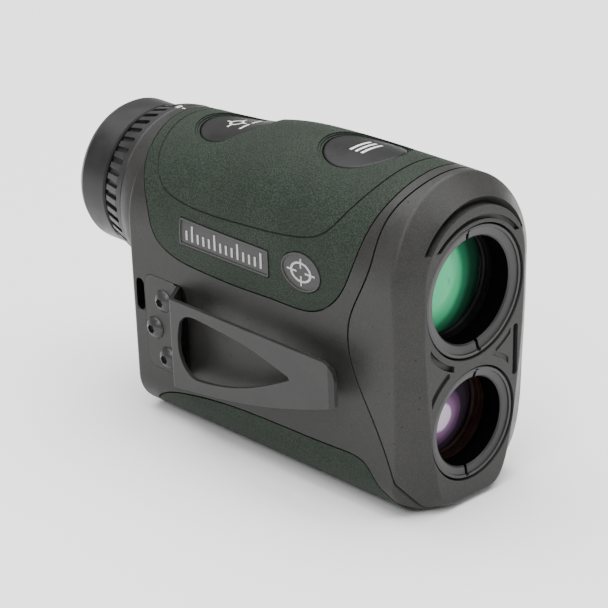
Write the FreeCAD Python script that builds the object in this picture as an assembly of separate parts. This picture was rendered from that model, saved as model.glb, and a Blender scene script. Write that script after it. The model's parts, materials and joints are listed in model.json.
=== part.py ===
"""Hand-held laser rangefinder, modelled piece by piece, in millimetres.

+Z is up, the objective end faces -Y and the eyepiece faces +Y. The shapes are drawn
with y = 0 at the front face and saved with the origin at the mouth of the tripod socket.
"""
import FreeCAD, Part
import functools
import math
import os

V = FreeCAD.Vector

# ---------------------------------------------------------------- driving dimensions
BODY_LENGTH = 91.4          # front face to the rear face of the body
BODY_TOP = 77.7             # height over the arched top, ahead of the rear slope
BODY_HALF_WIDTH = 22.0      # at the springing of the arch
ARCH_Z = 56.0               # height of the arch's centre
SIDE_TAPER = math.radians(1.97)
BODY_BOTTOM = 0.7           # the body stands on a pad this much lower
CORNER_R = 9.0              # long bottom corners
REAR_R = 1.4                # rounding of the rear face
ARMOUR_T = 1.2              # thickness of the moulded rubber armour
WALL_T = 3.4                # outer surface to the inner cavity
GAP = 0.15                  # fit line round each inlaid piece
EDGE_GAP = 0.35             # wider line round the armour

UPPER_Z = 51.7              # viewing axis: objective, prism and eyepiece
LOWER_Z = 19.7              # laser receiver axis
UPPER_HOLE_R = 15.9
LOWER_HOLE_R = 13.7
UPPER_CLEAR_R = 12.5
LOWER_CLEAR_R = 10.6

MENU_Y = 33.6
MEASURE_Y = 74.4
BUTTON_A = 9.3              # half width of a button, across the body
BUTTON_B = 9.8              # half length of a button, along the body

BATTERY_R = 7.8             # CR2 cell, 15.6 by 27
BATTERY_L = 27.0
BATTERY_Z = 17.0
CAP_R = 11.6
CAP_THREAD_R = 10.0

TRIPOD_Y = 34.5
TRIPOD_R = 2.6              # tapping radius of a 1/4-20 thread
TRIPOD_DEPTH = 7.5

COLLAR_END = 95.2           # end of the fixed eyepiece collar
RING_END = 103.4            # end of the dioptre ring
EYECUP_R = 17.95
EYECUP_END = 113.9
TUBE_R = 13.8               # fixed eyepiece tube, outside
TUBE_BORE_R = 12.6


# ---------------------------------------------------------------- small helpers
def cyl_y(r, y0, y1, z=0.0, x=0.0):
    return Part.makeCylinder(r, y1 - y0, V(x, y0, z), V(0, 1, 0))


def tube_y(outer, inner, y0, y1, z=0.0, x=0.0):
    return cyl_y(outer, y0, y1, z, x).cut(cyl_y(inner, y0 - 1, y1 + 1, z, x))


def cyl_z(r, z0, z1, x=0.0, y=0.0):
    return Part.makeCylinder(r, z1 - z0, V(x, y, z0), V(0, 0, 1))


def cyl_x(r, x0, x1, y=0.0, z=0.0):
    return Part.makeCylinder(r, x1 - x0, V(x0, y, z), V(1, 0, 0))


def box(x0, x1, y0, y1, z0, z1):
    return Part.makeBox(x1 - x0, y1 - y0, z1 - z0, V(x0, y0, z0))


def revolve_y(profile, z):
    """Solid of revolution about the line (x = 0, z) from (y, radius) points."""
    points = [V(0, y, z + r) for y, r in profile]
    face = Part.Face(Part.makePolygon(points + [points[0]]))
    return face.revolve(V(0, 0, z), V(0, 1, 0), 360)


def prism_x(edges, x0=-40.0, x1=40.0):
    """Solid along X from a closed outline of edges drawn in the YZ plane."""
    face = Part.Face(Part.Wire(edges))
    face.translate(V(x0, 0, 0))
    return face.extrude(V(x1 - x0, 0, 0))


def line_yz(points):
    return [Part.makeLine(V(0, *a), V(0, *b)) for a, b in zip(points, points[1:])]


def curve_yz(points):
    spline = Part.BSplineCurve()
    spline.interpolate([V(0, y, z) for y, z in points])
    return spline.toShape()


def rounded_rect_yz(y0, y1, z0, z1, r, x0, x1):
    """Block along X with rounded corners in the YZ plane."""
    block = box(x0, x1, y0, y1, z0, z1)
    corners = [e for e in block.Edges if abs(e.tangentAt(e.FirstParameter).x) > 0.99]
    return block.makeFillet(r, corners)


def one_solid(shape):
    """The largest solid of a result."""
    return max(shape.Solids, key=lambda s: s.Volume)


def save(name, shape):
    """Writes one piece, or a set of like pieces, moved to the part's own origin."""
    solids = shape.Solids
    out = solids[0].copy() if len(solids) == 1 else Part.makeCompound(solids)
    out.translate(V(0, -TRIPOD_Y, 0))
    out.exportStep("parts/" + name + ".step")


# ---------------------------------------------------------------- outer form
def side_x(z):
    """Half width of the tapered side at height z, before insetting."""
    base = BODY_HALF_WIDTH / math.cos(SIDE_TAPER)
    return base - (ARCH_Z - z) * math.tan(SIDE_TAPER)


def section(y, top, inset=0.0):
    """Arched section at y: flat bottom, round corners, tapered sides, round top."""
    t = SIDE_TAPER
    slope = math.sin(t)
    centre_z = (top - side_x(0.0) * math.cos(t)) / (1.0 + slope)
    r = side_x(centre_z) * math.cos(t) - inset
    corner = CORNER_R - inset
    corner_z = BODY_BOTTOM + CORNER_R
    corner_x = side_x(corner_z) - CORNER_R / math.cos(t)
    spring = V(r * math.cos(t), y, centre_z - r * slope)
    side_end = V(corner_x + corner * math.cos(t), y, corner_z - corner * slope)
    mid_a = (math.pi / 2 + t) / 2
    corner_mid = V(corner_x + corner * math.sin(mid_a), y, corner_z - corner * math.cos(mid_a))
    foot = V(corner_x, y, BODY_BOTTOM + inset)
    mirror = [V(-p.x, p.y, p.z) for p in (spring, side_end, corner_mid, foot)]
    edges = [
        Part.makeLine(mirror[3], foot),
        Part.Arc(foot, corner_mid, side_end).toShape(),
        Part.makeLine(side_end, spring),
        Part.Arc(spring, V(0, y, centre_z + r), mirror[0]).toShape(),
        Part.makeLine(mirror[0], mirror[1]),
        Part.Arc(mirror[1], mirror[2], mirror[3]).toShape(),
    ]
    return Part.Wire(edges)


FRONT_OVERRUN = 5.0         # the form starts this far ahead of the front face
STATIONS = 21               # evenly spaced sections from there to the rear face
TOP_LINE = [(-5.0, BODY_TOP), (35.0, BODY_TOP), (45.0, 77.45), (50.0, 77.2), (55.0, 76.9), (60.0, 76.3),
            (65.0, 75.3), (70.0, 74.1), (75.0, 73.15), (80.0, 72.6), (85.0, 72.2), (92.0, 71.8)]
COLLAR_RINGS = [(86.0, 50.1, 21.5), (88.3, 50.14, 21.55), (90.6, 50.27, 21.5), (92.9, 50.6, 21.1),
                (COLLAR_END, 51.2, 20.35)]      # y, height of the centre and radius


def top_at(y):
    """Height of the ridge at y, between the points of TOP_LINE."""
    for (y0, z0), (y1, z1) in zip(TOP_LINE, TOP_LINE[1:]):
        if y <= y1:
            return z0 + (z1 - z0) * (y - y0) / (y1 - y0)
    return TOP_LINE[-1][1]


@functools.lru_cache(maxsize=None)
def body_form(inset=0.0):
    """The outer form of the body without its collar, grown inwards by inset."""
    step = (BODY_LENGTH + FRONT_OVERRUN) / (STATIONS - 1)
    stations = [i * step - FRONT_OVERRUN for i in range(STATIONS)]
    stations[-1] -= inset
    form = Part.makeLoft([section(y, top_at(y), inset) for y in stations], True, False)
    if inset >= REAR_R:
        return form
    rear = max(form.Faces, key=lambda f: f.CenterOfMass.y)
    return form.makeFillet(REAR_R - inset, rear.Edges)


def circle_xz(y, z, r):
    return Part.Wire(Part.makeCircle(r, V(0, y, z), V(0, 1, 0)))


@functools.lru_cache(maxsize=None)
def collar_form(inset=0.0):
    """Shoulder that flows from the arched body into the round eyepiece collar."""
    return Part.makeLoft([circle_xz(y, z, r - inset) for y, z, r in COLLAR_RINGS], True, False)


@functools.lru_cache(maxsize=None)
def outer_form(inset=0.0):
    return body_form(inset).fuse(collar_form(inset))


def bevel_outline(y, half, arch_z, points, foot_x, bottom):
    """Outline of the slanted front bevel at y: round top, curved sides, flat foot."""
    right = [V(half, y, arch_z)] + [V(x, y, z) for x, z in points] + [V(foot_x, y, bottom)]
    left = [V(-p.x, p.y, p.z) for p in right[::-1]]
    side = Part.BSplineCurve()
    side.interpolate(right, InitialTangent=V(0, 0, -1), FinalTangent=V(-1, 0, 0))
    other = Part.BSplineCurve()
    other.interpolate(left, InitialTangent=V(-1, 0, 0), FinalTangent=V(0, 0, 1))
    edges = [
        Part.Arc(left[-1], V(0, y, arch_z + half), right[0]).toShape(),
        side.toShape(),
        Part.makeLine(right[-1], left[0]),
        other.toShape(),
    ]
    return Part.Wire(edges)


def bevel_cutter():
    """What the soft bevel round the front face takes away from the body's form."""
    near = bevel_outline(0.0, 16.4, 56.3, [(16.2, 42.0), (14.6, 25.0), (12.0, 10.0)], 5.0, 1.4)
    far = bevel_outline(8.0, 27.0, 51.7, [(27.0, 40.0), (26.8, 25.0), (26.0, 10.0)], 12.0, -0.4)
    return box(-40, 40, -5, 8, -20, 100).cut(Part.makeLoft([near, far], True, True))


def bevelled_body():
    """Outer form with the softened crease and front edge."""
    raw = outer_form().cut(bevel_cutter())
    crease = [e for e in raw.Edges if 0.5 < e.CenterOfMass.y < 12 and e.BoundBox.YLength > 0.01]
    soft = raw.makeFillet(1.3, crease)
    return soft.makeFillet(0.9, [e for e in soft.Edges if abs(e.BoundBox.YMax) < 0.01])


# ---------------------------------------------------------------- outlines seen from the side
SEAM = [(7.4, 86.0), (8.4, 78.0), (10.7, 72.0), (11.2, 61.0), (17.4, 46.3), (17.6, 38.0),
        (11.6, 25.1), (4.6, 9.5), (2.4, -4.0)]
SEAM_GAP = 0.5
ARMOUR_EDGE = [(11.4, 86.0), (12.0, 78.0), (14.3, 70.2), (16.4, 60.6), (21.4, 50.6), (28.5, 45.4),
               (40.0, 44.3), (53.0, 43.9), (67.0, 44.2), (76.0, 45.4), (81.3, 48.6), (83.6, 54.0),
               (86.6, 59.4), (89.9, 65.2), (92.0, 70.0), (94.4, 75.0), (97.0, 86.0)]
PANEL_LINE = [(16.9, 86.0), (17.5, 78.4), (22.4, 69.6), (26.6, 64.3), (34.0, 61.6), (50.0, 59.9),
              (65.0, 59.0), (74.7, 59.3), (80.5, 60.8), (85.2, 64.7), (88.4, 69.5), (90.8, 75.0),
              (92.0, 86.0)]
LOWER_EDGE = [(87.0, -4.0), (86.6, 2.6), (81.5, 7.0), (74.0, 9.3), (61.4, 11.2), (38.0, 12.3),
              (21.9, 12.8), (14.0, 11.8), (10.0, 7.4), (6.4, 4.6), (5.6, -4.0)]


def closed_curve(points):
    """Closed outline: a smooth curve through the points and a straight closing line."""
    return [curve_yz(points)] + line_yz([points[-1], points[0]])


def grown(points, distance):
    """The points of an open curve moved sideways, to its right for a positive distance."""
    spline = Part.BSplineCurve()
    spline.interpolate([V(0, y, z) for y, z in points])
    moved = []
    for y, z in points:
        along = spline.tangent(spline.parameter(V(0, y, z)))[0]
        moved.append((y + along.z * distance, z - along.y * distance))
    return moved


def ahead_of_seam(shift):
    far = [(SEAM[-1][0] + shift, SEAM[-1][1]), (-10.0, SEAM[-1][1]), (-10.0, SEAM[0][1]),
           (SEAM[0][0] + shift, SEAM[0][1])]
    curve = curve_yz([(y + shift, z) for y, z in SEAM])
    return prism_x([curve] + line_yz(far))


# ---------------------------------------------------------------- front bezel
def arc_groove(z, r_in, r_out, depth, keep):
    """Round-ended groove in the front face, concentric with the axis at height z."""
    return tube_y(r_out, r_in, -1.0, depth, z).common(keep)


def crescent():
    """Scoop over the upper lens that deepens inwards, with a finer groove under it."""
    cone = Part.makeLoft([circle_xz(-0.4, 56.1, 18.9), circle_xz(2.5, 54.5, 16.9)], True, True)
    scoop = cone.cut(cyl_y(17.1, -2.0, 4.0, 54.5))
    scoop = scoop.common(turned_down(box(-40, 40, -1, 4, 63.2, 90)))
    fine = arc_groove(51.4, 17.0, 18.1, 0.9, turned_down(box(-40, 40, -1, 3, 63.4, 90)))
    return [scoop, fine]


def turned_down(block):
    """Leans a block in the front face so that the scoop ends lower on its +X side."""
    block.rotate(V(0, 0, 63.0), V(0, 1, 0), 3.5)
    return block


def face_grooves():
    """Curved grooves beside the lens rings and the straight groove between them."""
    left_upper = arc_groove(UPPER_Z, 17.2, 18.6, 1.1, box(-14.4, -6.6, -1, 3, 30, 42.3))
    left_lower = arc_groove(LOWER_Z, 15.9, 17.4, 0.7, box(-13.8, -8.0, -1, 3, 27.5, 34.6))
    right_upper = arc_groove(UPPER_Z, 17.2, 18.2, 0.35, box(7.0, 12.0, -1, 3, 30, 40))
    right_lower = arc_groove(LOWER_Z, 15.9, 17.0, 0.35, box(6.0, 11.5, -1, 3, 30, 36))
    straight = box(12.9, 14.5, -1, 1.2, 28.0, 39.0)
    straight = straight.fuse([cyl_y(0.8, -1, 1.2, z, 13.7) for z in (28.0, 39.0)])
    return [left_upper, left_lower, right_upper, right_lower, straight]


BEZEL_WALL = 7.0
REAR_WALL_Y = 84.5          # front of the solid rear wall
SCREW_SPOTS = [(17.4, 24.5), (-17.4, 24.5), (17.3, 62.0), (-17.3, 62.0)]


def front_bezel(body, hollow):
    ring_holes = [cyl_y(UPPER_HOLE_R, -1, 30, UPPER_Z), cyl_y(LOWER_HOLE_R, -1, 30, LOWER_Z)]
    threads = [cyl_y(0.8, 6.0, 30, z, x) for x, z in SCREW_SPOTS]
    shell = body.common(ahead_of_seam(0.0)).cut(hollow)
    return one_solid(shell.cut(ring_holes + crescent() + face_grooves() + threads))


def bezel_gasket():
    band = ahead_of_seam(SEAM_GAP).cut(ahead_of_seam(0.0))
    bevel = bevel_cutter()
    bevel.translate(V(0, 0.6, 0))
    rim = body_form(0.5).cut(body_form(2.4)).cut(bevel)
    return one_solid(rim.common(band))


# ---------------------------------------------------------------- main housing
def ellipse_prism(y, a, b, z0, z1):
    """Upright prism on an ellipse: half width a across, half length b along the body."""
    if b >= a:
        outline = Part.Ellipse(V(0, y + b, z0), V(a, y, z0), V(0, y, z0))
    else:
        outline = Part.Ellipse(V(a, y, z0), V(0, y + b, z0), V(0, y, z0))
    return Part.Face(Part.Wire(outline.toShape())).extrude(V(0, 0, z1 - z0))


BUTTONS = {
    "menu": {"y": MENU_Y, "under": 72.6, "floor": 70.9, "base": 69.4, "switch": 66.2},
    "measure": {"y": MEASURE_Y, "under": 68.0, "floor": 66.3, "base": 64.9, "switch": 61.9},
}
STEM_R = 2.0
STEM_HOLE_R = 2.3
SWITCH_H = 1.7
BOARD_T = 1.2

CLIP_POCKET = (71.4, 86.4, 13.6, 38.0)      # y and z range of the recess for the clip's base
CLIP_FLOOR_X = -20.6                        # drawn for an upright side, before tilting
CLIP_SCREWS = [(79.7, 32.1), (83.3, 24.2), (79.3, 17.3)]
CLIP_SCREW_R = 1.45

STANDOFFS = [(33.0, 15.5), (33.0, 36.5), (76.0, 36.5), (55.0, 15.5)]


def housing_fillings(under_armour):
    """Bosses and pads that stand inside the shell."""
    parts = [ellipse_prism(b["y"], BUTTON_A + 1.8, BUTTON_B + 1.8, b["base"], 90).common(under_armour)
             for b in BUTTONS.values()]
    parts.append(cyl_z(6.6, 2.0, TRIPOD_DEPTH + 1.2, 0, TRIPOD_Y))
    parts.append(cyl_y(12.6, 82.0, 88.5, BATTERY_Z))
    parts.append(box(-20.4, -10.6, 85.5, 90.5, 25.5, 38.0))
    parts += [cyl_x(2.2, 16.6, 19.5, y, z) for y, z in STANDOFFS]
    parts += [tilted(cyl_x(2.8, -20.0, -17.2, y, z)) for y, z in CLIP_SCREWS]
    parts += [cyl_y(2.4, 18.4, 27.0, z, x).common(under_armour) for x, z in SCREW_SPOTS]
    return parts


def lanyard_slot():
    """Narrow channel from the side to the rear face that leaves a corner bar."""
    across = rounded_rect_yz(86.6, 89.4, 27.6, 35.8, 1.35, -26.0, -12.2)
    out = box(-15.0, -12.2, 86.6, 99.0, 27.6, 35.8)
    return [across, out]


def housing_openings():
    tools = [
        cyl_y(UPPER_HOLE_R, -1.0, 30.0, UPPER_Z),
        cyl_y(LOWER_HOLE_R, -1.0, 18.0, LOWER_Z),
        cyl_y(TUBE_R + 0.02, 76.0, 110.0, UPPER_Z),
        cyl_y(CAP_THREAD_R, 80.0, 95.0, BATTERY_Z),
        cyl_y(CAP_R, 89.3, 95.0, BATTERY_Z),
        cyl_z(4.2, -2.0, TRIPOD_DEPTH, 0, TRIPOD_Y),
        tilted(rounded_rect_yz(*CLIP_POCKET, 3.0, -30.0, CLIP_FLOOR_X)),
    ]
    for b in BUTTONS.values():
        tools.append(ellipse_prism(b["y"], BUTTON_A + GAP, BUTTON_B + GAP, b["floor"], 90))
        tools.append(cyl_z(STEM_HOLE_R, 50, 90, 0, b["y"]))
    tools += [tilted(cyl_x(CLIP_SCREW_R + 0.05, -25, -16, y, z)) for y, z in CLIP_SCREWS]
    tools += [cyl_x(0.8, 15, 18.6, y, z) for y, z in STANDOFFS]
    tools += [cyl_y(1.1, 10, 40, z, x) for x, z in SCREW_SPOTS]
    tools += [cyl_y(1.9, 27.0, 29.0, z, x) for x, z in SCREW_SPOTS]
    return tools + lanyard_slot()


def side_prism(edge, growth=0.0):
    """Everything inside a side outline, grown outwards by growth."""
    return prism_x(closed_curve(grown(edge, growth)))


def main_housing(body, hollow, under_armour):
    shell = body.common(prism_box_behind_seam())
    recesses = side_prism(ARMOUR_EDGE, EDGE_GAP).fuse(side_prism(LOWER_EDGE, EDGE_GAP)).cut(under_armour)
    shell = shell.cut(recesses).cut(hollow)
    shell = shell.fuse(housing_fillings(under_armour))
    return one_solid(shell.cut(housing_openings()))


def prism_box_behind_seam():
    return box(-40, 40, 0, 120, -10, 90).cut(ahead_of_seam(SEAM_GAP))


# ---------------------------------------------------------------- armour and badges
PLATE = (42.8, 72.4, 49.3, 55.7)            # y and z range of the raised side plate
BADGE = (32.3, 53.6, 6.1, 4.5)              # y, z, half length and half height of the round badge
BADGE_GAP = 0.22
PAD = (26.0, 43.0, 14.0)                    # y range and half width of the foot pad


def plate_prism(growth):
    y0, y1, z0, z1 = PLATE
    return rounded_rect_yz(y0 - growth, y1 + growth, z0 - growth, z1 + growth, 0.4 + growth, -40, 0)


def badge_prism(growth):
    y, z, long, high = BADGE
    outline = Part.Ellipse(V(0, y + long + growth, z), V(0, y, z + high + growth), V(0, y, z))
    face = Part.Face(Part.Wire(outline.toShape()))
    face.translate(V(-40, 0, 0))
    return face.extrude(V(40, 0, 0))


def panel_groove():
    """Thin moulded line that closes on itself round the top panel."""
    return side_prism(PANEL_LINE, 0.36).cut(side_prism(PANEL_LINE)).cut(outer_form(0.28))


def button_moat(b):
    """Sloping surround round a button, cut into the armour in two steps."""
    outer = ellipse_prism(b["y"], BUTTON_A + 1.2, BUTTON_B + 1.2, 60, 90).cut(outer_form(0.3))
    inner = ellipse_prism(b["y"], BUTTON_A + 0.7, BUTTON_B + 0.7, 60, 90).cut(outer_form(0.6))
    return [outer, inner]


def upper_armour(body, under_armour):
    skin = body.common(side_prism(ARMOUR_EDGE)).cut(under_armour)
    openings = [ellipse_prism(b["y"], BUTTON_A + GAP, BUTTON_B + GAP, 50, 90) for b in BUTTONS.values()]
    openings += [plate_prism(BADGE_GAP), badge_prism(BADGE_GAP), panel_groove()]
    openings += button_moat(BUTTONS["menu"]) + button_moat(BUTTONS["measure"])
    return one_solid(skin.cut(openings))


def foot_pad():
    """Raised pad round the tripod socket, with sloping ends."""
    y0, y1, half = PAD
    top = BODY_BOTTOM + 0.3
    edges = line_yz([(y0, 0.0), (y1, 0.0), (y1 + 1.4, top), (y0 - 1.4, top), (y0, 0.0)])
    pad = prism_x(edges, -half, half)
    sides = [e for e in pad.Edges if abs(e.CenterOfMass.x) > half - 0.01 and e.CenterOfMass.z < 0.01]
    return pad.makeChamfer(0.65, sides)


def lower_armour(body, under_armour):
    skin = body.common(side_prism(LOWER_EDGE)).fuse(foot_pad())
    return one_solid(skin.cut([under_armour, cyl_z(4.3, -5, 5, 0, TRIPOD_Y)]))


def inlay(prism, rim, proud):
    """Badge that follows the body's surface, with a raised rim round a sunken field."""
    blank = body_form(-proud).cut(body_form(0.7)).common(prism(0.0))
    return one_solid(blank.cut(prism(-rim).cut(body_form(-proud + 0.25))))


# ---------------------------------------------------------------- lens groups
def retaining_ring(z, outer, clear, notch_angle):
    """Threaded lens ring: flat rim, small step, shallow cone and two spanner notches."""
    profile = [(0.5, outer), (0.35, outer - 0.15), (0.35, outer - 0.8), (0.75, outer - 0.85),
               (1.15, clear + 0.35), (1.5, clear), (6.4, clear), (6.4, outer)]
    ring = revolve_y(profile, z)
    notch = box(-0.45, 0.45, -1.0, 1.7, clear - 1.0, outer - 0.35)
    notches = []
    for turn in (notch_angle, notch_angle + 180):
        cut = notch.copy()
        cut.rotate(V(0, 0, 0), V(0, 1, 0), turn)
        cut.translate(V(0, 0, z))
        notches.append(cut)
    return ring.cut(notches)


def lens(z, r, y_front, y_back, front_sag, back_sag):
    """Lens between two rims at radius r; a positive sag bulges outwards."""
    front = spherical_arc(z, r, y_front, -front_sag)
    back = spherical_arc(z, r, y_back, back_sag)
    ends = [V(0, y, h) for y, h in ((y_front, z + r), (y_back, z + r), (y_back + back_sag, z),
                                    (y_front - front_sag, z))]
    edges = [front, Part.makeLine(ends[0], ends[1]), back, Part.makeLine(ends[2], ends[3])]
    face = Part.Face(Part.Wire(Part.sortEdges(edges)[0]))
    return face.revolve(V(0, 0, z), V(0, 1, 0), 360)


def spherical_arc(z, r, y_rim, rise):
    """Arc from the rim at radius r to the axis, rising by rise along Y."""
    ball = (r * r + rise * rise) / (2.0 * abs(rise))
    half = r / 2.0
    mid = math.copysign(math.sqrt(ball * ball - half * half) - (ball - abs(rise)), rise)
    return Part.Arc(V(0, y_rim, z + r), V(0, y_rim + mid, z + half), V(0, y_rim + rise, z)).toShape()


def o_ring(z, major, minor, y):
    return Part.makeTorus(major, minor, V(0, y, z), V(0, 1, 0))


def objective_group():
    barrel = revolve_y([(6.6, 15.3), (6.6, 13.3), (9.3, 13.3), (9.3, 13.05), (17.2, 13.05), (17.2, 11.6),
                        (24.0, 10.8), (53.0, 9.4), (53.0, 11.4), (26.0, 12.1), (20.0, 15.3)], UPPER_Z)
    groove = tube_y(16.0, 14.4, 11.3, 12.7, UPPER_Z)
    spacer = revolve_y([(6.6, 13.2), (6.6, 12.9), (7.6, 12.9), (7.6, 12.5), (8.4, 12.5), (8.9, 12.1),
                        (9.25, 12.1), (9.25, 13.2)], UPPER_Z)
    return {
        "objective_ring": retaining_ring(UPPER_Z, 15.5, UPPER_CLEAR_R, -8),
        "objective_barrel": barrel.cut(groove),
        "objective_oring": o_ring(UPPER_Z, 15.13, 0.7, 12.0),
        "objective_spacer": spacer,
        "objective_lens": lens(UPPER_Z, 12.95, 9.6, 13.0, 1.3, 1.2),
        "objective_rear_lens": lens(UPPER_Z, 12.95, 13.1, 16.6, -1.2, 0.4),
    }


def receiver_group():
    barrel = revolve_y([(6.6, 13.1), (6.6, 11.5), (10.1, 11.5), (10.1, 11.1), (15.0, 11.1), (15.0, 10.2),
                        (37.0, 6.4), (37.0, 4.3), (41.0, 4.3), (41.0, 8.2), (18.0, 13.1)], LOWER_Z)
    groove = tube_y(14.0, 12.2, 11.3, 12.7, LOWER_Z)
    spacer = revolve_y([(6.6, 11.4), (6.6, 11.0), (8.0, 11.0), (8.0, 10.6), (9.3, 10.6), (9.7, 10.2),
                        (10.05, 10.2), (10.05, 11.4)], LOWER_Z)
    can = cyl_y(4.1, 38.5, 43.0, LOWER_Z).fuse(cyl_y(4.7, 41.1, 42.0, LOWER_Z))
    leads = [cyl_y(0.25, 42.5, 45.0, LOWER_Z + dz, dx) for dx, dz in ((2, 0), (-2, 0), (0, 2))]
    return {
        "receiver_ring": retaining_ring(LOWER_Z, 13.3, LOWER_CLEAR_R, 6),
        "receiver_barrel": barrel.cut(groove),
        "receiver_oring": o_ring(LOWER_Z, 12.92, 0.7, 12.0),
        "receiver_spacer": spacer,
        "receiver_lens": lens(LOWER_Z, 11.0, 10.9, 13.6, 1.6, 0.8),
        "detector": can.fuse(leads),
        "detector_board": box(-8, 8, 45.0, 46.2, LOWER_Z - 8, LOWER_Z + 8),
    }


def viewing_group():
    holder = box(-10.4, 10.4, 55, 80, 43.3, 59.7).cut(box(-8.5, 8.5, 50, 85, 45.0, 58.2))
    front = prism_x(line_yz([(56.5, 45.1), (56.5, 58.1), (64.5, 58.1), (69.0, 45.1), (56.5, 45.1)]), -8.4, 8.4)
    rear = prism_x(line_yz([(69.8, 45.1), (65.3, 58.1), (78.8, 58.1), (78.8, 45.1), (69.8, 45.1)]), -8.4, 8.4)
    display = box(-7.5, 7.5, 81.0, 82.4, 44.4, 59.0)
    window = box(-5.5, 5.5, 80.0, 81.4, 46.4, 57.0)
    laser = cyl_z(4.2, 31.6, 43.0, 0, 67.5).fuse(cyl_z(5.2, 33.0, 34.2, 0, 67.5))
    return {
        "prism_holder": holder,
        "front_prism": front,
        "roof_prism": rear,
        "aiming_display": display.cut(window),
        "laser_diode_module": laser,
        "laser_driver_board": box(-7.0, 7.0, 59.0, 76.0, 30.2, 31.4),
    }


# ---------------------------------------------------------------- eyepiece
GRIP_PADS = 42
GROOVE_HALF = 0.7
GROOVE_START = 97.0
GROOVE_SLOPE = -16           # degrees


def rounded_groove():
    """One groove of the grip: a round-ended slot whose floor follows the ring's slope."""
    block = box(-GROOVE_HALF, GROOVE_HALF, GROOVE_START, 106.0, 19.0, 22.0)
    front = [e for e in block.Edges if e.CenterOfMass.y < GROOVE_START + 0.1 and e.BoundBox.ZLength > 1]
    block = block.makeFillet(GROOVE_HALF - 0.05, front)
    block.rotate(V(0, GROOVE_START, 19.0), V(1, 0, 0), GROOVE_SLOPE)
    return block


def diopter_ring():
    """Focusing ring with grip pads parted by grooves that stop short of its front edge."""
    inner = TUBE_R + 0.07
    start = COLLAR_END + 0.15
    profile = [(start, inner), (start, 19.7), (95.8, 20.0), (98.0, 19.7), (102.6, 18.4),
               (RING_END, 17.6), (RING_END, inner)]
    groove = rounded_groove()
    cuts = []
    for i in range(GRIP_PADS):
        cut = groove.copy()
        cut.rotate(V(0, 0, 0), V(0, 1, 0), i * 360.0 / GRIP_PADS)
        cut.translate(V(0, 0, UPPER_Z))
        cuts.append(cut)
    return one_solid(revolve_y(profile, UPPER_Z).cut(cuts))


CUP_START = 104.1


def eyepiece_group():
    cell = [(88.0, 12.55), (88.0, 8.6), (89.4, 8.6), (89.4, 9.95), (94.6, 9.95), (94.6, 9.0), (101.4, 9.0),
            (101.4, 11.1), (107.6, 11.1), (107.6, 12.55)]
    cup = [(CUP_START, 16.25), (CUP_START, 17.45), (104.5, EYECUP_R), (112.0, EYECUP_R),
           (113.3, 17.3), (EYECUP_END, 16.3), (EYECUP_END, 14.9), (113.4, 14.0), (112.3, 13.6),
           (109.4, 13.6), (109.4, 16.25)]
    return {
        "eyepiece_tube": tube_y(TUBE_R, TUBE_BORE_R, 84.2, 108.8, UPPER_Z),
        "ocular_cell": revolve_y(cell, UPPER_Z),
        "field_lens": lens(UPPER_Z, 9.85, 90.6, 93.2, 1.0, 0.9),
        "eye_lens": lens(UPPER_Z, 11.0, 102.6, 105.6, 1.0, 1.2),
        "ocular_ring": tube_y(11.02, 10.2, 106.3, 107.5, UPPER_Z),
        "diopter_ring": diopter_ring(),
        "eyecup_sleeve": tube_y(14.8, TUBE_R + 0.07, CUP_START + 0.2, 109.2, UPPER_Z),
        "eyecup_core": tube_y(16.2, 14.86, CUP_START + 0.1, 109.3, UPPER_Z),
        "eyecup": revolve_y(cup, UPPER_Z),
    }


# ---------------------------------------------------------------- buttons
def button_cap(b):
    """Rubber key that follows the arched top, with its stem."""
    cap = ellipse_prism(b["y"], BUTTON_A, BUTTON_B, b["under"], 90).common(body_form(0.55))
    rim = [e for e in cap.Edges if e.BoundBox.ZMin > b["under"] + 0.5 and e.BoundBox.ZLength > 0.3
           and e.BoundBox.XLength > 1.0]
    cap = cap.makeFillet(0.7, rim)
    stem = cyl_z(STEM_R, b["switch"] + 2.5, b["under"] + 1.0, 0, b["y"])
    return one_solid(cap.fuse(stem))


def button_group(name):
    b = BUTTONS[name]
    y = b["y"]
    top = b["switch"]
    switch = box(-3, 3, y - 3, y + 3, top, top + SWITCH_H).cut(cyl_z(1.7, top + 0.3, top + 5, 0, y))
    seal = cyl_z(4.2, b["floor"], b["floor"] + 0.6, 0, y).cut(cyl_z(STEM_HOLE_R, 50, 90, 0, y))
    return {
        name + "_button": button_cap(b),
        name + "_button_seal": seal,
        name + "_switch": switch,
        name + "_switch_plunger": cyl_z(1.6, top + 1.1, top + 2.5, 0, y),
        name + "_switch_board": box(-6, 6, y - 6, y + 5, top - BOARD_T, top),
    }


def button_flex():
    """Thin ribbon from one switch board to the other."""
    high = BUTTONS["menu"]["switch"] - 0.7
    low = BUTTONS["measure"]["switch"] - 0.7
    y0 = MENU_Y + 5.0
    y1 = MEASURE_Y - 6.0
    t = 0.2
    run = [(y0, high), (54.0, high), (61.0, low), (y1, low), (y1, low + t), (61.0, low + t), (54.0, high + t),
           (y0, high + t), (y0, high)]
    return prism_x(line_yz(run), -2.5, 2.5)


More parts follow.
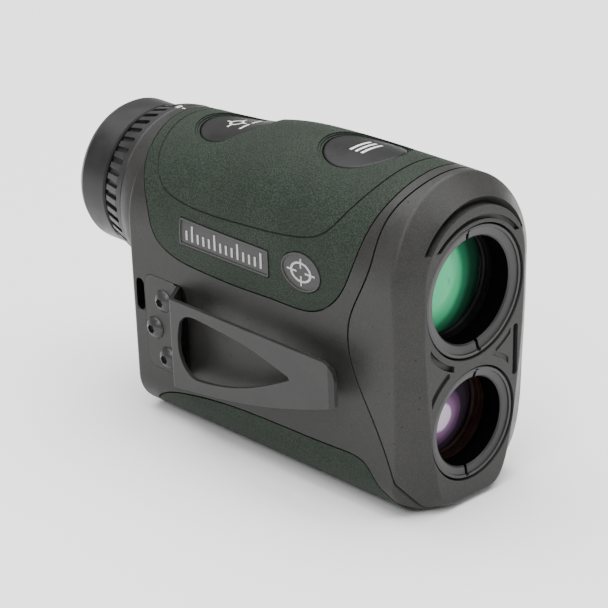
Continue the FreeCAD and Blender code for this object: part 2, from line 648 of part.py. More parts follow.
# ---------------------------------------------------------------- belt clip
CLIP_ROOT_Y = 75.6
CLIP_BASE_X = -22.05                         # outer face of the screwed base
CLIP_OUTER_X = -28.0
CLIP_T = 1.0
CLIP_PROFILE = [(CLIP_BASE_X, CLIP_ROOT_Y), (CLIP_BASE_X, 74.9), (CLIP_OUTER_X, 70.9),
                (CLIP_OUTER_X, 18.9), (CLIP_OUTER_X + 0.6, 17.7), (CLIP_OUTER_X + 1.6, 17.5),
                (CLIP_OUTER_X + 1.6, 18.5), (CLIP_OUTER_X + CLIP_T + 0.1, 18.7), (CLIP_OUTER_X + CLIP_T, 19.1),
                (CLIP_OUTER_X + CLIP_T, 70.4), (CLIP_BASE_X + CLIP_T, 74.3),
                (CLIP_BASE_X + CLIP_T, CLIP_ROOT_Y), (CLIP_BASE_X, CLIP_ROOT_Y)]


def tilted(shape):
    """Leans a piece drawn for an upright side at x = -22 onto the tapered side."""
    leaned = shape.copy()
    leaned.rotate(V(-BODY_HALF_WIDTH, 0, ARCH_Z), V(0, 1, 0), -math.degrees(SIDE_TAPER))
    return leaned


def clip_arm():
    """Sprung arm: a bent plate with a tapering outline and a long window."""
    points = [V(x, y, 0) for x, y in CLIP_PROFILE]
    bent = Part.Face(Part.makePolygon(points)).extrude(V(0, 0, 60))
    bends = [e for e in bent.Edges if e.BoundBox.ZLength > 59 and 70.0 < e.CenterOfMass.y < 75.3]
    bent = bent.makeFillet(0.5, bends)
    under = curve_yz([(17.5, 26.9), (25.0, 24.2), (39.2, 20.0), (57.3, 16.5), (76.6, 14.2)])
    outline = [under] + line_yz([(76.6, 14.2), (76.6, 37.5), (20.2, 37.4), (18.9, 36.8), (18.0, 35.3),
                                 (17.2, 31.0), (17.1, 27.6), (17.5, 26.9)])
    window = [curve_yz([(31.3, 29.3), (39.1, 25.4), (46.9, 22.2), (55.4, 19.9), (62.7, 18.9)]),
              curve_yz([(62.7, 18.9), (65.8, 20.0), (68.1, 23.5), (68.6, 27.5), (67.6, 32.5)]),
              curve_yz([(67.6, 32.5), (65.8, 34.3), (59.6, 34.9), (44.7, 33.4), (31.6, 30.1)]),
              line_yz([(31.6, 30.1), (31.3, 29.3)])[0]]
    arm = bent.common(prism_x(outline)).cut(prism_x(window))
    return one_solid(tilted(arm))


def clip_base():
    y0, y1, z0, z1 = CLIP_POCKET
    fit = 0.1
    plate = rounded_rect_yz(y0 + fit, y1 - fit, z0 + fit, z1 - fit, 2.9, CLIP_BASE_X, CLIP_FLOOR_X)
    plate = plate.cut(box(-40, 0, 0, CLIP_ROOT_Y + 0.1, -10, 90))
    return tilted(plate.cut([cyl_x(1.6, -30, 0, y, z) for y, z in CLIP_SCREWS]))


def button_head_screw(y, z):
    """Domed screw with a hexagon socket."""
    ball_r = 3.4
    head = cyl_x(2.85, CLIP_BASE_X - 1.65, CLIP_BASE_X, y, z)
    head = head.common(Part.makeSphere(ball_r, V(CLIP_BASE_X - 1.65 + ball_r, y, z)))
    corners = [(y + 1.15 * math.cos(math.radians(a)), z + 1.15 * math.sin(math.radians(a)))
               for a in range(0, 361, 60)]
    socket = prism_x(line_yz(corners), CLIP_BASE_X - 3, CLIP_BASE_X - 0.55)
    return tilted(head.fuse(cyl_x(CLIP_SCREW_R, CLIP_BASE_X - 0.3, -17.4, y, z)).cut(socket))


# ---------------------------------------------------------------- battery, boards, fasteners
def battery_spring():
    """Closely wound negative contact in front of the cell, its turns touching."""
    turns = [o_ring(BATTERY_Z, 4.2, 0.3, 56.2 + 0.52 * i) for i in range(5)]
    return one_solid(turns[0].fuse(turns[1:]))


def battery_cap():
    head = cyl_y(CAP_R - GAP, 89.4, 92.2, BATTERY_Z)
    head = head.makeFillet(0.5, [e for e in head.Edges if e.CenterOfMass.y > 92.1])
    plug = cyl_y(CAP_THREAD_R - 0.07, 83.0, 89.5, BATTERY_Z)
    cuts = [cyl_y(8.6, 80, 86.8, BATTERY_Z), tube_y(12, 8.9, 87.1, 88.3, BATTERY_Z),
            box(-7.5, 7.5, 90.9, 95, BATTERY_Z - 0.85, BATTERY_Z + 0.85)]
    return one_solid(head.fuse(plug).cut(cuts))


def battery_group():
    tube = cyl_y(9.3, 54.6, 81.9, BATTERY_Z).cut(cyl_y(8.05, 55.8, 90, BATTERY_Z))
    cell = cyl_y(BATTERY_R, 58.6, 58.6 + BATTERY_L - 1.4, BATTERY_Z)
    nub = cyl_y(3.3, 70.0, 58.6 + BATTERY_L, BATTERY_Z)
    contact = cyl_y(6.0, 86.3, 86.75, BATTERY_Z).fuse(cyl_y(2.0, 85.7, 86.5, BATTERY_Z))
    return {
        "battery_tube": tube,
        "battery": cell.fuse(nub),
        "battery_spring": battery_spring(),
        "battery_cap": battery_cap(),
        "battery_cap_contact": contact,
        "battery_cap_oring": o_ring(BATTERY_Z, 9.43, 0.5, 87.7),
    }


BOARD_X = (15.2, 16.6)


def main_board():
    board = box(*BOARD_X, 30.0, 79.0, 12.0, 40.0)
    return board.cut([cyl_x(0.8, 10, 20, y, z) for y, z in STANDOFFS])


def board_chips():
    chips = [(40, 50, 19, 29, 1.4), (54, 62, 24, 30, 1.0), (66, 74, 18, 26, 1.2), (42, 46, 32, 36, 0.8),
             (60, 72, 33, 37, 1.0)]
    return Part.makeCompound([box(BOARD_X[0] - h, BOARD_X[0], y0, y1, z0, z1) for y0, y1, z0, z1, h in chips])


def board_screws():
    screws = [cyl_x(1.5, BOARD_X[0] - 1.0, BOARD_X[0], y, z).fuse(cyl_x(0.78, BOARD_X[0] - 0.5, 18.4, y, z))
              for y, z in STANDOFFS]
    return Part.makeCompound(screws)


def bezel_screws():
    screws = [cyl_y(1.7, 27.0, 28.3, z, x).fuse(cyl_y(0.78, 6.2, 27.5, z, x)) for x, z in SCREW_SPOTS]
    return Part.makeCompound(screws)


def build():
    body = bevelled_body()
    hollow = body_form(WALL_T).cut(box(-40, 40, -10, BEZEL_WALL, -10, 90))
    hollow = hollow.cut(box(-40, 40, REAR_WALL_Y, 120, -10, 90))
    under_armour = outer_form(ARMOUR_T)
    parts = {
        "main_housing": main_housing(body, hollow, under_armour),
        "front_bezel": front_bezel(body, hollow),
        "bezel_gasket": bezel_gasket(),
        "bezel_screws": bezel_screws(),
        "upper_armour": upper_armour(body, under_armour),
        "lower_armour": lower_armour(body, under_armour),
        "side_plate": inlay(plate_prism, 0.35, 0.25),
        "round_badge": inlay(badge_prism, 0.35, 0.25),
        "tripod_insert": cyl_z(4.2, 0.0, TRIPOD_DEPTH, 0, TRIPOD_Y).cut(cyl_z(TRIPOD_R, -1, 20, 0, TRIPOD_Y)),
        "belt_clip": clip_arm(),
        "belt_clip_base": clip_base(),
        "belt_clip_screws": Part.makeCompound([button_head_screw(y, z) for y, z in CLIP_SCREWS]),
        "button_flex": button_flex(),
        "main_board": main_board(),
        "board_chips": board_chips(),
        "board_screws": board_screws(),
    }
    for group in (objective_group(), receiver_group(), viewing_group(), eyepiece_group(), battery_group(),
                  button_group("menu"), button_group("measure")):
        parts.update(group)
    return parts


os.makedirs("parts", exist_ok=True)
for part_name, part_shape in build().items():
    save(part_name, part_shape)
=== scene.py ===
import json
import math

import bpy
from mathutils import Matrix, Vector
from mathutils.bvhtree import BVHTree


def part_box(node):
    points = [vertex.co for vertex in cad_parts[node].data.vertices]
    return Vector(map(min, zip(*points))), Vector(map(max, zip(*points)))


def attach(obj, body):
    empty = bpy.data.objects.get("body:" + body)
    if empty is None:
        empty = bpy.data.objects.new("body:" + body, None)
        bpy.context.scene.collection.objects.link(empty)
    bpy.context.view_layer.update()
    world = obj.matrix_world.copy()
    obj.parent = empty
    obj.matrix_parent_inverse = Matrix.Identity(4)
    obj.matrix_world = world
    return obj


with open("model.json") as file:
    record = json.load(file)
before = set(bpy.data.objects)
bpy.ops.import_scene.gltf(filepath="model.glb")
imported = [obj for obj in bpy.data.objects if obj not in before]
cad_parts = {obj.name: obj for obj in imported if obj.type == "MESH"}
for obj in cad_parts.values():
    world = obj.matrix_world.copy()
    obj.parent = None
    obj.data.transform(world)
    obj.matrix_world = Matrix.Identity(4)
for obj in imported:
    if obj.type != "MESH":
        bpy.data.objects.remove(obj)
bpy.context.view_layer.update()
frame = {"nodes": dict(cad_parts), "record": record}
MM = 0.001


# ---------------------------------------------------------------- node helpers
class Shader:
    """A material's node tree, with short calls for the nodes used here."""

    def __init__(self, name):
        self.material = bpy.data.materials.new(name)
        self.material.use_nodes = True
        self.tree = self.material.node_tree
        self.tree.nodes.clear()
        self.output = self.node("ShaderNodeOutputMaterial")
        self.coords = self.node("ShaderNodeTexCoord").outputs["Object"]

    def node(self, kind, **settings):
        made = self.tree.nodes.new(kind)
        for key, value in settings.items():
            setattr(made, key, value)
        return made

    def plug(self, socket, value):
        if isinstance(value, bpy.types.NodeSocket):
            self.tree.links.new(value, socket)
        else:
            socket.default_value = value

    def noise(self, per_mm, detail=2.0, rough=0.5, where=None):
        made = self.node("ShaderNodeTexNoise")
        self.plug(made.inputs["Vector"], where or self.coords)
        made.inputs["Scale"].default_value = per_mm / MM
        made.inputs["Detail"].default_value = detail
        made.inputs["Roughness"].default_value = rough
        return made.outputs["Fac"]

    def cells(self, per_mm, feature="F1", smooth=0.0, where=None, out="Distance", randomness=1.0):
        made = self.node("ShaderNodeTexVoronoi", feature=feature)
        self.plug(made.inputs["Vector"], where or self.coords)
        made.inputs["Scale"].default_value = per_mm / MM
        made.inputs["Randomness"].default_value = randomness
        if feature == "SMOOTH_F1":
            made.inputs["Smoothness"].default_value = smooth
        return made.outputs[out]

    def math(self, operation, a, b=0.0, clamp=False):
        made = self.node("ShaderNodeMath", operation=operation, use_clamp=clamp)
        self.plug(made.inputs[0], a)
        self.plug(made.inputs[1], b)
        return made.outputs[0]

    def ramp(self, value, low, high, to_low=0.0, to_high=1.0):
        made = self.node("ShaderNodeMapRange", interpolation_type="SMOOTHSTEP")
        for socket, v in zip(("Value", "From Min", "From Max", "To Min", "To Max"),
                             (value, low, high, to_low, to_high)):
            self.plug(made.inputs[socket], v)
        return made.outputs["Result"]

    def mix(self, factor, a, b):
        made = self.node("ShaderNodeMix", data_type="RGBA")
        self.plug(made.inputs["Factor"], factor)
        self.plug(made.inputs[6], (*a, 1.0) if isinstance(a, tuple) else a)
        self.plug(made.inputs[7], (*b, 1.0) if isinstance(b, tuple) else b)
        return made.outputs[2]

    def bump(self, height, depth_mm, strength=1.0, normal=None):
        made = self.node("ShaderNodeBump")
        made.inputs["Strength"].default_value = strength
        made.inputs["Distance"].default_value = depth_mm * MM
        self.plug(made.inputs["Height"], height)
        if normal is not None:
            self.plug(made.inputs["Normal"], normal)
        return made.outputs["Normal"]

    def rounded(self, radius_mm):
        """A normal that looks as if sharp edges were rounded by radius_mm."""
        made = self.node("ShaderNodeBevel", samples=4)
        made.inputs["Radius"].default_value = radius_mm * MM
        return made.outputs["Normal"]

    def edges(self, radius_mm, low=0.004, high=0.09):
        """1 near sharp edges, 0 on flats, from how far the rounded normal leans."""
        made = self.node("ShaderNodeVectorMath", operation="DOT_PRODUCT")
        self.plug(made.inputs[0], self.rounded(radius_mm))
        self.plug(made.inputs[1], self.node("ShaderNodeNewGeometry").outputs["Normal"])
        return self.ramp(self.math("SUBTRACT", 1.0, made.outputs["Value"]), low, high)

    def axis(self, letter):
        split = self.node("ShaderNodeSeparateXYZ")
        self.plug(split.inputs[0], self.coords)
        return split.outputs[letter]

    def inside(self, low_mm, high_mm):
        """1 inside a box, 0 outside."""
        result = 1.0
        for letter, low, high in zip("XYZ", low_mm, high_mm):
            above = self.math("GREATER_THAN", self.axis(letter), low * MM)
            below = self.math("LESS_THAN", self.axis(letter), high * MM)
            result = self.math("MULTIPLY", result, self.math("MULTIPLY", above, below))
        return result

    def distance_xz(self, x_mm, z_mm):
        """Distance in metres from a line along Y through (x, z)."""
        flat = self.node("ShaderNodeCombineXYZ")
        self.plug(flat.inputs["X"], self.math("SUBTRACT", self.axis("X"), x_mm * MM))
        self.plug(flat.inputs["Z"], self.math("SUBTRACT", self.axis("Z"), z_mm * MM))
        made = self.node("ShaderNodeVectorMath", operation="LENGTH")
        self.plug(made.inputs[0], flat.outputs["Vector"])
        return made.outputs["Value"]

    def surface(self, color, roughness, normal=None, **extra):
        made = self.node("ShaderNodeBsdfPrincipled")
        self.plug(made.inputs["Base Color"], (*color, 1.0) if isinstance(color, tuple) else color)
        self.plug(made.inputs["Roughness"], roughness)
        if normal is not None:
            self.plug(made.inputs["Normal"], normal)
        for key, value in extra.items():
            self.plug(made.inputs[key.replace("_", " ")], value)
        return made.outputs["BSDF"]

    def finish(self, surface):
        self.tree.links.new(surface, self.output.inputs["Surface"])
        return self.material


# ---------------------------------------------------------------- materials
def coated_metal(name, base, light, shaded=None):
    """Fine textured coat with sparse dark pits and edges a little lighter.

    shaded is a box in millimetres, low and high corner, inside which the colour is painted near-black as
    painted shade.
    """
    s = Shader(name)
    grain = s.noise(3.2, 3.0, 0.6)
    mottle = s.noise(0.11, 4.0, 0.62)
    pits = s.ramp(s.cells(0.42), 0.05, 0.13, 1.0, 0.0)
    pits = s.math("MULTIPLY", pits, s.ramp(s.noise(0.2, 2.0), 0.48, 0.54))
    dust = s.ramp(s.cells(1.3), 0.04, 0.14, 0.6, 0.0)
    pits = s.math("MAXIMUM", pits, s.math("MULTIPLY", dust, s.ramp(s.noise(0.35, 2.0), 0.5, 0.58)))
    color = s.mix(s.ramp(mottle, 0.3, 0.7), base, light)
    color = s.mix(s.ramp(grain, 0.4, 0.7, 0.0, 0.5), color, tuple(v * 1.7 for v in light))
    color = s.mix(s.math("MULTIPLY", s.edges(0.3), 0.3), color, tuple(v * 2.2 for v in light))
    color = s.mix(s.math("MULTIPLY", pits, 0.85), color, tuple(v * 0.2 for v in base))
    height = s.math("SUBTRACT", grain, s.math("MULTIPLY", pits, 1.8))
    # inside the shaded box the coat is painted near-black: painted shade of the recess
    if shaded is not None:
        color = s.mix(s.inside(*shaded), color, (0.002, 0.002, 0.002))
    normal = s.bump(height, 0.03, 0.9, s.rounded(0.12))
    rough = s.ramp(mottle, 0.3, 0.7, 0.36, 0.48)
    return s.finish(s.surface(color, rough, normal, Specular_IOR_Level=0.2))


def stippled_rubber(name, base, light):
    """Moulded armour: close leather-like stipple, lighter on its crowns."""
    s = Shader(name)
    warp = s.noise(0.07, 3.0)
    cells = s.cells(2.6, "SMOOTH_F1", 0.3)
    fine = s.noise(3.4, 2.0, 0.5)
    height = s.math("ADD", s.math("MULTIPLY", cells, -1.0), s.math("MULTIPLY", fine, 0.9))
    crown = s.ramp(height, -0.2, 0.35)
    color = s.mix(crown, base, light)
    color = s.mix(s.ramp(warp, 0.3, 0.7, 0.0, 0.3), color, tuple(v * 0.8 for v in base))
    normal = s.bump(height, 0.11, 0.9, s.rounded(0.16))
    rough = s.ramp(fine, 0.3, 0.7, 0.55, 0.7)
    return s.finish(s.surface(color, rough, normal, Specular_IOR_Level=0.16))


def plain_rubber(name, base, roughness):
    """Smooth moulded rubber, slightly cloudy."""
    s = Shader(name)
    fine = s.noise(4.0, 2.0)
    cloud = s.noise(0.2, 3.0)
    color = s.mix(s.ramp(cloud, 0.35, 0.7), base, tuple(v * 1.35 for v in base))
    normal = s.bump(fine, 0.02, 0.7, s.rounded(0.25))
    rough = s.ramp(cloud, 0.3, 0.7, roughness - 0.05, roughness + 0.08)
    return s.finish(s.surface(color, rough, normal, Specular_IOR_Level=0.25))


def dark_anodised(name, base):
    """Satin anodised metal with a very fine grain."""
    s = Shader(name)
    fine = s.noise(5.0, 2.0)
    cloud = s.noise(0.3, 3.0)
    color = s.mix(s.ramp(cloud, 0.35, 0.7), base, tuple(v * 1.4 for v in base))
    normal = s.bump(fine, 0.008, 0.8, s.rounded(0.2))
    rough = s.ramp(fine, 0.3, 0.7, 0.37, 0.49)
    return s.finish(s.surface(color, rough, normal, Specular_IOR_Level=0.3))


def badge_metal(name, base, light):
    """Blasted grey metal with brighter edges."""
    s = Shader(name)
    fine = s.noise(6.0, 3.0, 0.6)
    color = s.mix(s.ramp(fine, 0.3, 0.75), base, light)
    color = s.mix(s.math("MULTIPLY", s.edges(0.12), 0.6), color, tuple(min(1.0, v * 2.2) for v in light))
    normal = s.bump(fine, 0.02, 0.8, s.rounded(0.06))
    return s.finish(s.surface(color, s.ramp(fine, 0.3, 0.7, 0.38, 0.52), normal, Metallic=0.3,
                              Specular_IOR_Level=0.25))


def lens_ring(name, front_y_mm):
    """Black lens ring: turned grey rim and cone; behind front_y_mm the bore is painted dead black without
    gloss, as painted shade.
    """
    s = Shader(name)
    fine = s.noise(4.0, 2.0)
    # the bore behind front_y_mm is painted near-black and its gloss removed: painted shade in the recess
    bore = s.ramp(s.axis("Y"), (front_y_mm - 0.02) * MM, (front_y_mm + 0.02) * MM)
    grey = s.mix(s.ramp(fine, 0.3, 0.7), (0.01, 0.01, 0.01), (0.014, 0.014, 0.014))
    color = s.mix(bore, grey, (0.002, 0.002, 0.002))
    normal = s.bump(fine, 0.01, 0.8, s.rounded(0.08))
    gloss = s.math("MULTIPLY", s.math("SUBTRACT", 1.0, bore), 0.5)
    return s.finish(s.surface(color, 0.42, normal, Specular_IOR_Level=gloss))


def glass_with_painted_reflection(name, reflection_spot, reflection_bands, painted_glow):
    """Coated lens with a painted reflection: rings of the coating's tint, brightest near reflection_spot,
    stand in for a light reflected in it, glossy over a dark body; the colour is also emitted, as painted
    light.

    reflection_spot is (x, z) in millimetres; reflection_bands is a list of (radius in mm, colour) from
    reflection_spot outwards; painted_glow is the strength of that emission.
    """
    s = Shader(name)
    away = s.distance_xz(*reflection_spot)
    swirl = s.math("MULTIPLY", s.math("SUBTRACT", s.noise(0.12, 2.0), 0.5), 1.6 * MM)
    away = s.math("ADD", away, swirl)
    color = reflection_bands[0][1]
    for (inner, _), (outer, tint) in zip(reflection_bands, reflection_bands[1:]):
        color = s.mix(s.ramp(away, inner * MM, outer * MM), color, tint)
    # the ring colours are emitted too: painted light on a part that is no lamp
    return s.finish(s.surface(color, 0.07, Specular_IOR_Level=0.1, Emission_Color=color,
                              Emission_Strength=painted_glow))


def clear_glass(name, tint):
    """Uncoated polished glass."""
    s = Shader(name)
    haze = s.noise(0.3, 2.0)
    rough = s.ramp(haze, 0.3, 0.7, 0.01, 0.05)
    return s.finish(s.surface(tint, rough, Transmission_Weight=0.9, IOR=1.5))


def barrel_black(name, base):
    """Matt blackened barrel with fine baffle rings along the axis."""
    s = Shader(name)
    rings = s.math("SINE", s.math("MULTIPLY", s.axis("Y"), 2 * math.pi / (0.55 * MM)))
    cloud = s.noise(0.4, 2.0)
    color = s.mix(s.ramp(cloud, 0.3, 0.7), base, tuple(v * 1.8 for v in base))
    normal = s.bump(rings, 0.04, 0.5, s.rounded(0.1))
    return s.finish(s.surface(color, 0.5, normal, Specular_IOR_Level=0.12))


def semi_gloss(name, base):
    """Hard coat on sprung steel: smooth, faintly orange-peeled, brighter on its edges."""
    s = Shader(name)
    peel = s.noise(1.1, 2.0)
    cloud = s.noise(0.12, 3.0)
    color = s.mix(s.ramp(cloud, 0.35, 0.7), base, tuple(v * 1.35 for v in base))
    color = s.mix(s.math("MULTIPLY", s.edges(0.35), 0.5), color, tuple(v * 3.0 for v in base))
    normal = s.bump(peel, 0.02, 0.5, s.rounded(0.22))
    rough = s.ramp(cloud, 0.3, 0.7, 0.3, 0.4)
    return s.finish(s.surface(color, rough, normal, Specular_IOR_Level=0.25))


def speckled_plastic(name, base, roughness=0.5, metallic=0.0):
    """Plain plastic or metal surface with a fine grain and soft clouding."""
    s = Shader(name)
    fine = s.noise(3.0, 3.0)
    cloud = s.noise(0.25, 3.0)
    color = s.mix(s.ramp(cloud, 0.3, 0.7), base, tuple(min(1.0, v * 1.35) for v in base))
    normal = s.bump(fine, 0.015, 0.7, s.rounded(0.12))
    rough = s.ramp(fine, 0.3, 0.7, roughness - 0.06, roughness + 0.08)
    return s.finish(s.surface(color, rough, normal, Metallic=metallic))


def circuit_board(name):
    """Green solder mask with copper tracks showing under it."""
    s = Shader(name)
    tracks = s.ramp(s.cells(0.5, "DISTANCE_TO_EDGE", randomness=0.6), 0.03, 0.06, 1.0, 0.0)
    color = s.mix(tracks, (0.012, 0.09, 0.035), (0.05, 0.19, 0.07))
    normal = s.bump(tracks, 0.03, 0.6)
    return s.finish(s.surface(color, 0.35, normal))


def white_paint(name):
    """Printed white ink, unevenly worn."""
    s = Shader(name)
    wear = s.noise(1.8, 3.0)
    color = s.mix(s.ramp(wear, 0.3, 0.6), (0.5, 0.5, 0.49), (0.78, 0.78, 0.76))
    return s.finish(s.surface(color, 0.5, s.bump(wear, 0.01, 0.6)))


# rings of colour for the painted reflections on the objective lens and the receiver glass, radius in mm
# from the centre of the reflection
MINT_REFLECTION = [(8.5, (0.075, 0.5, 0.24)), (11.5, (0.055, 0.36, 0.175)), (13.8, (0.018, 0.12, 0.06)),
        (16.5, (0.006, 0.035, 0.019)), (19.7, (0.004, 0.012, 0.008)), (20.2, (0.02, 0.026, 0.023))]
VIOLET_REFLECTION = [(3.1, (0.6, 0.5, 0.62)), (4.0, (0.2, 0.11, 0.21)), (6.6, (0.09, 0.045, 0.095)),
          (7.8, (0.025, 0.018, 0.027)), (12.0, (0.012, 0.008, 0.01))]
# behind this line along Y the bore of a lens ring is painted dead black as painted shade
RING_FRONT_Y = -33.0        # where the cone of a lens ring meets its bore
# box inside the lanyard slot where the housing coat is painted near-black as painted shade
SLOT_SHADE = ((-21.2, 51.9, 27.4), (-8.0, 55.1, 36.1))     # inside of the lanyard slot

MATERIALS = {
    "chassis_coat": coated_metal("chassis_coat", (0.02, 0.02, 0.0193), (0.027, 0.0265, 0.0255)),
    "armour_rubber": stippled_rubber("armour_rubber", (0.012, 0.0185, 0.0125), (0.033, 0.044, 0.033)),
    "gasket_rubber": plain_rubber("gasket_rubber", (0.003, 0.003, 0.003), 0.7),
    "button_rubber": plain_rubber("button_rubber", (0.006, 0.006, 0.006), 0.4),
    "eyecup_rubber": plain_rubber("eyecup_rubber", (0.014, 0.014, 0.0143), 0.4),
    "badge_metal": badge_metal("badge_metal", (0.036, 0.036, 0.036), (0.056, 0.056, 0.055)),
    "anodised_black": dark_anodised("anodised_black", (0.014, 0.014, 0.014)),
    "clip_coat": semi_gloss("clip_coat", (0.018, 0.018, 0.0175)),
    "barrel_black": barrel_black("barrel_black", (0.003, 0.003, 0.003)),
    "lens_glass": glass_with_painted_reflection("lens_glass", (-8.0, 53.0), MINT_REFLECTION, 0.25),
    "receiver_glass": glass_with_painted_reflection("receiver_glass", (-0.7, 18.0), VIOLET_REFLECTION, 0.3),
    "optics_glass": clear_glass("optics_glass", (0.85, 0.9, 0.92)),
    "inner_plastic": speckled_plastic("inner_plastic", (0.02, 0.02, 0.02)),
    "board_green": circuit_board("board_green"),
    "flex_amber": speckled_plastic("flex_amber", (0.4, 0.16, 0.03), 0.35),
    "screw_steel": speckled_plastic("screw_steel", (0.025, 0.025, 0.025), 0.34, 0.3),
    "contact_steel": speckled_plastic("contact_steel", (0.5, 0.49, 0.46), 0.25, 1.0),
    "brass": speckled_plastic("brass", (0.5, 0.36, 0.14), 0.3, 1.0),
    "cell_wrap": speckled_plastic("cell_wrap", (0.03, 0.04, 0.09), 0.3),
}
OWN_MATERIALS = {
    # the housing coat is a darker copy of the chassis coat as painted shade on the side, with its lanyard
    # slot painted near-black as painted shade
    "main_housing": coated_metal("housing_coat_painted_shade", (0.0165, 0.0165, 0.0158), (0.0225, 0.022, 0.021),
                                 shaded=SLOT_SHADE),
    "objective_ring": lens_ring("objective_ring_black", RING_FRONT_Y),
    "receiver_ring": lens_ring("receiver_ring_black", RING_FRONT_Y),
    "receiver_barrel": barrel_black("receiver_barrel_black", (0.012, 0.005, 0.004)),
    "receiver_spacer": barrel_black("receiver_spacer_black", (0.012, 0.005, 0.004)),
}


def dress_nodes():
    """Every CAD node gets its slot's material, or the one made for it."""
    for entry in frame["record"]["subparts"]:
        mesh = frame["nodes"][entry["node"]].data
        mesh.materials.clear()
        mesh.materials.append(OWN_MATERIALS.get(entry["node"], MATERIALS[entry["material_slot"]]))


# ---------------------------------------------------------------- printed marks
PAINT = white_paint("mark_white")
RAISED = badge_metal("mark_metal", (0.3, 0.3, 0.297), (0.46, 0.46, 0.455))
PAINT_HEIGHT = 0.03 * MM
SUNK = 0.05 * MM            # how far the underside of a mark lies below the surface
ABOVE = 0.2                 # marks are projected from this far outside, in metres
DOWN = (0.0, 0.0, -1.0)
INWARD = (1.0, 0.0, 0.0)
TREES = {}


def tree_of(node):
    """Ray-casting tree of a CAD node, made once."""
    if node not in TREES:
        mesh = frame["nodes"][node].data
        world = frame["nodes"][node].matrix_world
        TREES[node] = BVHTree.FromPolygons([world @ v.co for v in mesh.vertices],
                                           [tuple(f.vertices) for f in mesh.polygons])
    return TREES[node]


def drop(node, start, direction, lift):
    """Point on a CAD node under start along direction, lifted by lift."""
    hit = tree_of(node).ray_cast(Vector(start), Vector(direction))
    if hit[0] is None:
        raise ValueError("a mark falls off " + node)
    return hit[0] - Vector(direction) * lift


def mark(name, node, body, rows, start_of, direction, material, height, closed=False):
    """Thin raised strip over a grid of rows of (u, v) points projected onto a CAD node."""
    tops = [[drop(node, start_of(u, v), direction, height) for u, v in row] for row in rows]
    sunk = [[p + Vector(direction) * (height + SUNK) for p in row] for row in tops]
    width, count = len(rows), len(rows[0])
    verts = [p for row in tops for p in row] + [p for row in sunk for p in row]
    low = width * count
    last = count if closed else count - 1
    faces = []
    for i in range(width - 1):
        for j in range(last):
            k = (j + 1) % count
            faces.append((i * count + j, i * count + k, (i + 1) * count + k, (i + 1) * count + j))
    for i in (0, width - 1):
        for j in range(last):
            k = (j + 1) % count
            quad = (i * count + j, low + i * count + j, low + i * count + k, i * count + k)
            faces.append(quad if i else quad[::-1])
    if not closed:
        for i in range(width - 1):
            for j in (0, count - 1):
                quad = (i * count + j, (i + 1) * count + j, low + (i + 1) * count + j, low + i * count + j)
                faces.append(quad if j else quad[::-1])
    mesh = bpy.data.meshes.new(name)
    mesh.from_pydata(verts, [], faces)
    mesh.materials.append(material)
    piece = bpy.data.objects.new(name, mesh)
    bpy.context.scene.collection.objects.link(piece)
    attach(piece, body)
    return piece


def bar_rows(u0, u1, v0, v1, turn=0.0, cells=(3, 8)):
    """Grid of a straight bar, turned about its own middle."""
    cu, cv = (u0 + u1) / 2, (v0 + v1) / 2
    rows = []
    for i in range(cells[0] + 1):
        row = []
        for j in range(cells[1] + 1):
            du = u0 + (u1 - u0) * j / cells[1] - cu
            dv = v0 + (v1 - v0) * i / cells[0] - cv
            row.append((cu + du * math.cos(turn) - dv * math.sin(turn),
                        cv + du * math.sin(turn) + dv * math.cos(turn)))
        rows.append(row)
    return rows


def ring_rows(cu, cv, inner, outer, count=48, half=(1.0, 1.0)):
    """Rows of a flat ring; half stretches it along u and v."""
    return [[(cu + r * half[0] * math.cos(2 * math.pi * j / count),
              cv + r * half[1] * math.sin(2 * math.pi * j / count)) for j in range(count)]
            for r in (inner, (inner + outer) / 2, outer)]


def from_above(u, v):
    return (u * MM, v * MM, ABOVE)


def from_side(u, v):
    return (-ABOVE, u * MM, v * MM)


def centre_of(node):
    """Middle of a node's box, in millimetres."""
    low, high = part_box(node)
    return [(a + b) / 2 / MM for a, b in zip(low, high)]


def key_marks():
    """Three bars on the front key, a reticle and two dashes on the rear one."""
    x, y, _ = centre_of("menu_button")
    for i in range(3):
        v = y - 2.3 + 1.75 * i
        mark("menu_bar_%d" % i, "menu_button", "menu_key", bar_rows(x - 3.2, x + 3.4, v, v + 0.75),
             from_above, DOWN, PAINT, PAINT_HEIGHT)
    x, y, _ = centre_of("measure_button")
    cv = y + 1.2
    mark("measure_reticle", "measure_button", "measure_key", ring_rows(x, cv, 1.35, 1.85), from_above,
         DOWN, PAINT, PAINT_HEIGHT, closed=True)
    for i in range(4):
        turn = i * math.pi / 2
        cu, cw = x + 2.45 * math.cos(turn), cv + 2.45 * math.sin(turn)
        mark("measure_tick_%d" % i, "measure_button", "measure_key",
             bar_rows(cu - 0.75, cu + 0.75, cw - 0.22, cw + 0.22, turn), from_above, DOWN, PAINT,
             PAINT_HEIGHT)
    for i, (left, right) in enumerate(((-3.6, -0.5), (0.4, 3.6))):
        mark("measure_dash_%d" % i, "measure_button", "measure_key",
             bar_rows(x + left, x + right, cv - 5.1, cv - 4.3), from_above, DOWN, PAINT, PAINT_HEIGHT)


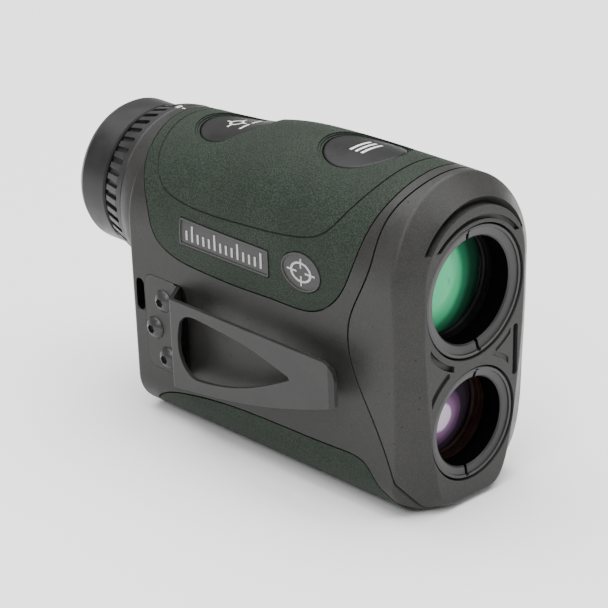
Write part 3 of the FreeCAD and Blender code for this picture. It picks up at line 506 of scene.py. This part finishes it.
def plate_marks():
    """Range-scale ticks on the side plate and a crosshair on the round badge."""
    low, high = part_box("side_plate")
    y0, y1 = low[1] / MM + 2.4, high[1] / MM - 2.4
    middle = (low[2] + high[2]) / 2 / MM
    count = 14
    for i in range(count):
        y = y0 + (y1 - y0) * i / (count - 1)
        tall = 1.9 if i % 4 == 0 else 1.15
        mark("scale_tick_%02d" % i, "side_plate", "housing",
             bar_rows(y - 0.28, y + 0.28, middle - 1.75, middle - 1.75 + 2 * tall, cells=(4, 2)),
             from_side, INWARD, RAISED, 0.12 * MM)
    _, y, z = centre_of("round_badge")
    low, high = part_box("round_badge")
    wide = (high[1] - low[1]) / (high[2] - low[2])
    mark("badge_ring", "round_badge", "housing", ring_rows(y, z, 2.0, 2.45, half=(wide, 1.0)), from_side,
         INWARD, RAISED, 0.1 * MM, closed=True)
    for i in range(4):
        turn = i * math.pi / 2
        cy, cz = y + 2.1 * wide * math.cos(turn), z + 2.1 * math.sin(turn)
        long = 1.5 if i % 2 == 0 else 1.15
        mark("badge_tick_%d" % i, "round_badge", "housing",
             bar_rows(cy - long, cy + long, cz - 0.2, cz + 0.2, turn), from_side, INWARD, RAISED, 0.11 * MM)


def eyepiece_marks():
    """Index bar on the dioptre ring, a zero and a dash on the collar."""
    low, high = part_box("diopter_ring")
    front = low[1] / MM
    mark("ring_index", "diopter_ring", "focus_ring", bar_rows(-0.9, 0.9, front + 0.25, front + 1.1),
         from_above, DOWN, PAINT, PAINT_HEIGHT)
    mark("collar_zero", "main_housing", "housing", ring_rows(0.0, front - 3.2, 0.5, 0.85, 32, (0.75, 1.1)),
         from_above, DOWN, PAINT, PAINT_HEIGHT, closed=True)
    mark("collar_dash", "main_housing", "housing", bar_rows(-0.22, 0.22, front - 1.6, front - 0.6),
         from_above, DOWN, PAINT, PAINT_HEIGHT)


# ---------------------------------------------------------------- stage
FLOOR_HALF = 2.0
WORLD_STRENGTH = 0.45
LIGHTS = (      # name, place from the middle of the object in metres, size in metres, watts
    ("overhead_light", (0.05, 0.1, 1.2), 1.7, 50.0),
    ("front_light", (0.5, -0.85, 0.55), 0.4, 1.6),
    ("left_light", (-0.85, -0.35, 0.7), 0.45, 5.2),
)


def area_light(name, place, aim, size, power):
    data = bpy.data.lights.new(name, "AREA")
    data.shape = "RECTANGLE"
    data.size = size
    data.size_y = size
    data.energy = power
    lamp = bpy.data.objects.new(name, data)
    bpy.context.scene.collection.objects.link(lamp)
    lamp.location = place
    lamp.rotation_euler = (aim - place).to_track_quat("-Z", "Y").to_euler()


def build_stage(centre):
    """Pale floor, white surroundings and three soft lights round centre."""
    half = FLOOR_HALF
    mesh = bpy.data.meshes.new("floor")
    mesh.from_pydata([(-half, -half, 0), (half, -half, 0), (half, half, 0), (-half, half, 0)], [],
                     [(0, 1, 2, 3)])
    floor = bpy.data.objects.new("floor", mesh)
    bpy.context.scene.collection.objects.link(floor)
    s = Shader("floor_white")
    mesh.materials.append(s.finish(s.surface((0.92, 0.92, 0.92), 0.8, Specular_IOR_Level=0.0)))
    world = bpy.data.worlds.new("studio")
    world.use_nodes = True
    world.node_tree.nodes["Background"].inputs["Color"].default_value = (1, 1, 1, 1)
    world.node_tree.nodes["Background"].inputs["Strength"].default_value = WORLD_STRENGTH
    bpy.context.scene.world = world
    for name, offset, size, power in LIGHTS:
        area_light(name, centre + Vector(offset), centre, size, power)


CAMERA_AZIMUTH = -44.39     # degrees round from the front, towards the belt clip
CAMERA_HEIGHT = 23.48       # degrees above the level
CAMERA_ROLL = -0.69         # degrees
CAMERA_DISTANCE = 0.6129    # metres
FOCAL_MM = 153.9
OBJECT_MIDDLE = Vector((0.0, 0.02, 0.04))
CAMERA_TARGET = Vector((0.0, 0.01935, 0.03259))


def build_camera(target):
    """Camera looking at target from the angle of the photograph."""
    azimuth, height = math.radians(CAMERA_AZIMUTH), math.radians(CAMERA_HEIGHT)
    back = Vector((math.sin(azimuth) * math.cos(height), -math.cos(azimuth) * math.cos(height),
                   math.sin(height)))
    data = bpy.data.cameras.new("camera")
    data.lens = FOCAL_MM
    data.sensor_width = 36.0
    data.clip_start = 0.01
    camera = bpy.data.objects.new("camera", data)
    bpy.context.scene.collection.objects.link(camera)
    camera.location = target + back * CAMERA_DISTANCE
    turn = (-back).to_track_quat("-Z", "Y").to_matrix()
    camera.rotation_euler = (turn @ Matrix.Rotation(math.radians(CAMERA_ROLL), 3, "Z")).to_euler()
    bpy.context.scene.camera = camera


dress_nodes()
key_marks()
plate_marks()
eyepiece_marks()
build_stage(OBJECT_MIDDLE)
build_camera(CAMERA_TARGET)
